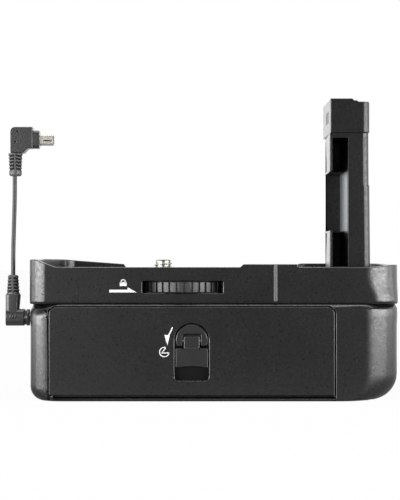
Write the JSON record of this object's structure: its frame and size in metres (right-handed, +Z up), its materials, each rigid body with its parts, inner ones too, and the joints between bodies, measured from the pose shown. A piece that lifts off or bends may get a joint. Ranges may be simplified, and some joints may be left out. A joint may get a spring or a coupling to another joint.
{
  "type": "camera battery grip",
  "caption": "Vertical battery grip with a deck and screw for the camera, a battery-well stem, a pull-out pack tray, a thumbwheel and a plug-in lead.",
  "frame": {"origin": "mouth of the tripod socket in the base, under the camera screw", "axes": "+X to the right as seen from behind, +Y towards the camera's front, +Z up along the camera screw"},
  "size_m": [0.136, 0.0661, 0.1036],
  "materials": {
    "shell": "fine sandblasted black plastic",
    "deck": "plain black plastic",
    "skin": "soft-touch rubber with fine leather grain",
    "stem": "satin black plastic",
    "plate": "satin black paint on steel",
    "screws": "blackened steel",
    "steel": "nickel-plated steel",
    "brass": "turned brass",
    "contact": "gold-plated contacts",
    "inner": "plain moulded plastic",
    "board": "green solder mask",
    "chip": "epoxy",
    "flex": "amber polyimide film",
    "wheel": "black plastic with moulded knurl",
    "latch": "satin black plastic",
    "button": "polished black plastic",
    "ring": "satin black plastic",
    "dome": "grey silicone",
    "lead": "soft black moulded plastic",
    "cable": "black rubber jacket"
  },
  "bodies": {
    "root": {"lower_housing": "shell", "upper_housing": "shell", "index_bead": "shell", "grip_skin": "skin", "base_plate": "plate", "base_screws": "screws", "tripod_socket": "brass", "chamber": "inner", "chamber_screws": "screws", "chamber_contacts": "contact", "shell_screws": "screws", "top_deck": "deck", "deck_pad": "skin", "deck_screws": "screws", "wheel_bearing": "inner", "wheel_carrier": "inner", "carrier_screws": "screws", "screw_bushing": "brass", "stem_shell": "stem", "stem_cap": "stem", "stem_contacts": "contact", "stem_board": "board", "stem_screws": "screws", "flex_cable": "flex", "main_board": "board", "board_chips": "chip", "board_screws": "screws", "button_bezel": "ring", "switch_board": "board", "button_switch": "inner", "button_dome": "dome", "jack_socket": "inner"},
    "wheel": {"thumbwheel": "wheel"},
    "screw": {"camera_screw": "steel", "screw_pinion": "brass", "screw_clip": "screws"},
    "tray": {"tray_door": "shell", "tray_frame": "inner", "tray_screws": "screws", "tray_contacts": "contact", "latch_hub": "latch", "hinge_pin": "screws", "latch_bolt": "inner"},
    "flap": {"latch_flap": "latch"},
    "button": {"shutter_button": "button"},
    "lock": {"lock_ring": "ring"},
    "lead": {"lead_pin": "steel", "lead_collar": "lead", "lead_plug": "lead", "lead_relief_low": "lead", "lead_cable": "cable", "lead_relief_high": "lead", "lead_head": "lead", "lead_sleeve": "lead", "lead_connector": "steel", "connector_tongue": "chip"}
  },
  "joints": [
    {"name": "wheel_turn", "type": "hinge", "parent": "root", "child": "wheel", "pos_m": [0.0069, -0.00405, 0.0386], "axis": [0, 0, 1], "continuous": true},
    {"name": "screw_turn", "type": "hinge", "parent": "root", "child": "screw", "pos_m": [0, 0, 0.041], "axis": [0, 0, 1], "continuous": true},
    {"name": "tray_slide", "type": "slide", "parent": "root", "child": "tray", "axis": [0, -1, 0], "range_m": [0, 0.06]},
    {"name": "flap_lift", "type": "hinge", "parent": "tray", "child": "flap", "pos_m": [0.01, -0.018, 0.0204], "axis": [-1, 0, 0], "range_deg": [0, 90]},
    {"name": "shutter_press", "type": "slide", "parent": "root", "child": "button", "axis": [-1, 0, 0], "range_m": [0, 0.0008], "stiffness_N_per_m": 900, "deforming": ["button_dome"]},
    {"name": "lock_turn", "type": "hinge", "parent": "root", "child": "lock", "pos_m": [0.0808, 0.018, 0.021], "axis": [1, 0, 0], "range_deg": [0, 30]},
    {"name": "lead_pull", "type": "slide", "parent": "root", "child": "lead", "axis": [-1, 0, 0], "range_m": [0, 0.012]}
  ],
  "couplings": [
    {"joint": "screw_turn", "follows": "wheel_turn", "ratio": 2.6}
  ]
}
